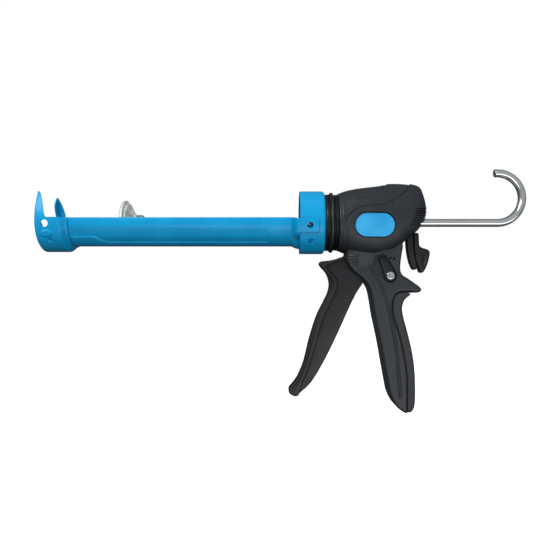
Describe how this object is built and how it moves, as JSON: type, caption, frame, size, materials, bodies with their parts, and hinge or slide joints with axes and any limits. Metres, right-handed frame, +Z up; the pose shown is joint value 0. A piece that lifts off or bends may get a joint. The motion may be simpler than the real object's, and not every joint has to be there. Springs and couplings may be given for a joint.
{
  "type": "caulking gun",
  "caption": "Rotating half-barrel caulking gun with hooked push rod, squeeze trigger, thumb release and thrust selector, for long cartridges.",
  "frame": {"origin": "centre of the pusher's flat front face, on the rod's axis, at the rest position", "axes": "+X runs back along the rod to the hook, +Z is up, -Y is the gun's left side with the selector"},
  "size_m": [0.5272, 0.0716, 0.2655],
  "materials": {
    "blue_paint": "glossy bright blue powder coat",
    "shell_plastic": "fine textured charcoal nylon",
    "lever_plastic": "satin black nylon",
    "grip_rubber": "soft matte black grip",
    "o_ring_rubber": "black rubber",
    "badge_plastic": "blue domed plate with a darker rim",
    "chromed_steel": "bright chrome",
    "grey_casting": "die-cast, unpainted",
    "bare_steel": "zinc plated",
    "nylon": "natural grey nylon"
  },
  "bodies": {
    "housing": {"body_shell_left": "shell_plastic", "body_shell_right": "shell_plastic", "badge_left": "badge_plastic", "badge_right": "badge_plastic", "grip_insert": "grip_rubber", "swivel_hub": "lever_plastic", "swivel_o_ring": "o_ring_rubber", "collar_retainer": "bare_steel", "front_bush": "nylon", "rear_bush": "nylon", "trigger_pivot_pin": "bare_steel", "spring_seat_washer": "bare_steel", "return_spring": "bare_steel", "brake_spring": "bare_steel", "case_screw_front_top": "bare_steel", "case_screw_front_low": "bare_steel", "case_screw_rear_top": "bare_steel", "case_screw_middle": "bare_steel", "case_screw_grip_top": "bare_steel", "case_screw_grip_low": "bare_steel"},
    "barrel": {"cradle_trough": "blue_paint", "front_cap": "blue_paint", "collar_ring": "blue_paint"},
    "pusher": {"pusher_plate": "grey_casting", "pusher_gland_nut": "bare_steel"},
    "rod": {"push_rod": "chromed_steel", "rod_end_nut": "bare_steel"},
    "trigger": {"trigger_lever": "lever_plastic", "trigger_sleeve": "nylon", "trigger_drive_tip": "bare_steel"},
    "drive": {"drive_plate_front": "bare_steel", "drive_plate_rear": "bare_steel"},
    "release": {"brake_plate": "bare_steel", "release_lever": "lever_plastic"},
    "selector": {"selector_bar": "lever_plastic", "selector_screw": "chromed_steel", "selector_cam": "bare_steel"}
  },
  "joints": [
    {"name": "barrel_spin", "type": "hinge", "parent": "housing", "child": "barrel", "pos_m": [0.2214, 0, 0], "axis": [1, 0, 0], "continuous": true},
    {"name": "rod_slide", "type": "slide", "parent": "housing", "child": "pusher", "axis": [1, 0, 0], "range_m": [-0.068, 0.185]},
    {"name": "rod_turn", "type": "hinge", "parent": "pusher", "child": "rod", "pos_m": [0.0103, 0, 0], "axis": [1, 0, 0], "continuous": true},
    {"name": "trigger_squeeze", "type": "hinge", "parent": "housing", "child": "trigger", "pos_m": [0.2745, 0, -0.0379], "axis": [0, -1, 0], "range_deg": [0, 25], "stiffness_Nm_per_rad": 0.8, "springref_deg": -20.05},
    {"name": "drive_slide", "type": "slide", "parent": "housing", "child": "drive", "axis": [-1, 0, 0], "range_m": [0, 0.0125], "deforming": ["return_spring"]},
    {"name": "release_press", "type": "hinge", "parent": "housing", "child": "release", "pos_m": [0.3115, 0, 0.0145], "axis": [0, 1, 0], "range_deg": [0, 6], "stiffness_Nm_per_rad": 0.8, "springref_deg": -8.59, "deforming": ["brake_spring"]},
    {"name": "selector_flip", "type": "hinge", "parent": "housing", "child": "selector", "pos_m": [0.2924, -0.0128, -0.0579], "axis": [0, -1, 0], "range_deg": [0, 22]}
  ],
  "couplings": [
    {"joint": "drive_slide", "follows": "trigger_squeeze", "m_per_rad": 0.02796}
  ]
}
